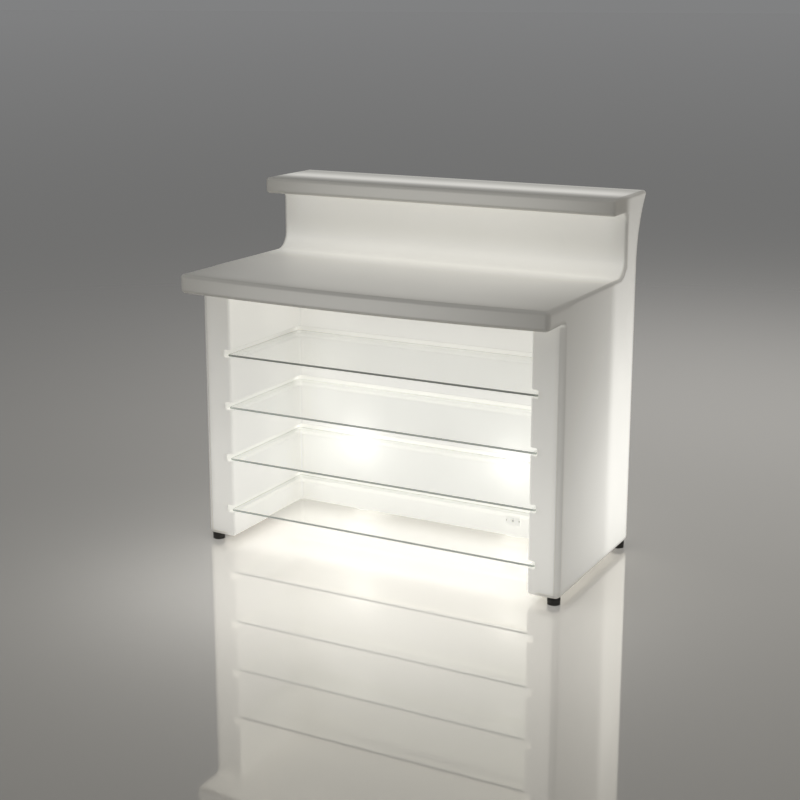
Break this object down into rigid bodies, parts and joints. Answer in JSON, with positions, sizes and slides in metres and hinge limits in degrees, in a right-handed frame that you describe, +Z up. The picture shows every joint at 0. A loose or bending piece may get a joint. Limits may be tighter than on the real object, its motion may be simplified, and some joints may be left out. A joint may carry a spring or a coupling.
{
  "type": "bar counter with shelves",
  "caption": "Back-lit bar counter moulded in one hollow piece, with a bowed worktop, a raised ledge, glass shelves in moulded grooves and levelling feet.",
  "frame": {"origin": "middle of the footprint, on the floor", "axes": "+Z up; -Y is the bartender's side with the open shelves; +Y is the customers' side; +X is to the right seen from the bartender's side"},
  "size_m": [1.18, 0.7657, 1.1],
  "materials": {
    "polyethylene": "rotational-moulded translucent white polyethylene, lit from inside",
    "float_glass": "clear float glass, edges ground and polished",
    "black_nylon": "black nylon, finely grained",
    "zinc_steel": "zinc-plated steel",
    "insert_steel": "turned steel",
    "cover_plastic": "white moulded plastic",
    "gasket_rubber": "grey rubber sheet",
    "holder_plastic": "white heat-proof plastic",
    "cap_aluminium": "rolled aluminium",
    "opal_globe": "opal diffuser, lit",
    "outlet_plastic": "light grey moulded plastic",
    "bushing_rubber": "light grey rubber",
    "terminal_plastic": "dark grey moulded plastic",
    "lead_pvc": "white PVC sheath"
  },
  "bodies": {
    "counter": {"body_shell": "polyethylene", "foot_insert_1": "insert_steel", "foot_insert_2": "insert_steel", "foot_insert_3": "insert_steel", "foot_insert_4": "insert_steel", "lamp_cover_left": "cover_plastic", "lamp_gasket_left": "gasket_rubber", "lamp_stand_left": "zinc_steel", "lamp_holder_left": "holder_plastic", "lamp_cap_left": "cap_aluminium", "lamp_housing_left": "holder_plastic", "lamp_globe_left": "opal_globe", "lamp_cover_right": "cover_plastic", "lamp_gasket_right": "gasket_rubber", "lamp_stand_right": "zinc_steel", "lamp_holder_right": "holder_plastic", "lamp_cap_right": "cap_aluminium", "lamp_housing_right": "holder_plastic", "lamp_globe_right": "opal_globe", "cover_screws": "zinc_steel", "outlet_plate": "outlet_plastic", "outlet_bushing": "bushing_rubber", "outlet_screws": "zinc_steel", "terminal_box": "terminal_plastic", "lead_left": "lead_pvc", "lead_right": "lead_pvc"},
    "shelf_1": {"glass_shelf_1": "float_glass"},
    "shelf_2": {"glass_shelf_2": "float_glass"},
    "shelf_3": {"glass_shelf_3": "float_glass"},
    "shelf_4": {"glass_shelf_4": "float_glass"},
    "foot_1": {"foot_pad_1": "black_nylon"},
    "foot_1_screw": {"foot_screw_1": "zinc_steel"},
    "foot_2": {"foot_pad_2": "black_nylon"},
    "foot_2_screw": {"foot_screw_2": "zinc_steel"},
    "foot_3": {"foot_pad_3": "black_nylon"},
    "foot_3_screw": {"foot_screw_3": "zinc_steel"},
    "foot_4": {"foot_pad_4": "black_nylon"},
    "foot_4_screw": {"foot_screw_4": "zinc_steel"}
  },
  "joints": [
    {"name": "shelf_1_slide", "type": "slide", "parent": "counter", "child": "shelf_1", "axis": [0, -1, 0], "range_m": [0, 0.35]},
    {"name": "shelf_2_slide", "type": "slide", "parent": "counter", "child": "shelf_2", "axis": [0, -1, 0], "range_m": [0, 0.35]},
    {"name": "shelf_3_slide", "type": "slide", "parent": "counter", "child": "shelf_3", "axis": [0, -1, 0], "range_m": [0, 0.35]},
    {"name": "shelf_4_slide", "type": "slide", "parent": "counter", "child": "shelf_4", "axis": [0, -1, 0], "range_m": [0, 0.35]},
    {"name": "foot_1_height", "type": "slide", "parent": "counter", "child": "foot_1", "axis": [0, 0, -1], "range_m": [0, 0.012]},
    {"name": "foot_1_turn", "type": "hinge", "parent": "foot_1", "child": "foot_1_screw", "pos_m": [-0.568, -0.219, 0.004], "axis": [0, 0, -1], "range_deg": [0, 2880]},
    {"name": "foot_2_height", "type": "slide", "parent": "counter", "child": "foot_2", "axis": [0, 0, -1], "range_m": [0, 0.012]},
    {"name": "foot_2_turn", "type": "hinge", "parent": "foot_2", "child": "foot_2_screw", "pos_m": [0.568, -0.219, 0.004], "axis": [0, 0, -1], "range_deg": [0, 2880]},
    {"name": "foot_3_height", "type": "slide", "parent": "counter", "child": "foot_3", "axis": [0, 0, -1], "range_m": [0, 0.012]},
    {"name": "foot_3_turn", "type": "hinge", "parent": "foot_3", "child": "foot_3_screw", "pos_m": [-0.568, 0.296, 0.004], "axis": [0, 0, -1], "range_deg": [0, 2880]},
    {"name": "foot_4_height", "type": "slide", "parent": "counter", "child": "foot_4", "axis": [0, 0, -1], "range_m": [0, 0.012]},
    {"name": "foot_4_turn", "type": "hinge", "parent": "foot_4", "child": "foot_4_screw", "pos_m": [0.568, 0.296, 0.004], "axis": [0, 0, -1], "range_deg": [0, 2880]}
  ],
  "couplings": [
    {"joint": "foot_1_turn", "follows": "foot_1_height", "rad_per_m": 4188.8},
    {"joint": "foot_2_turn", "follows": "foot_2_height", "rad_per_m": 4188.8},
    {"joint": "foot_3_turn", "follows": "foot_3_height", "rad_per_m": 4188.8},
    {"joint": "foot_4_turn", "follows": "foot_4_height", "rad_per_m": 4188.8}
  ]
}
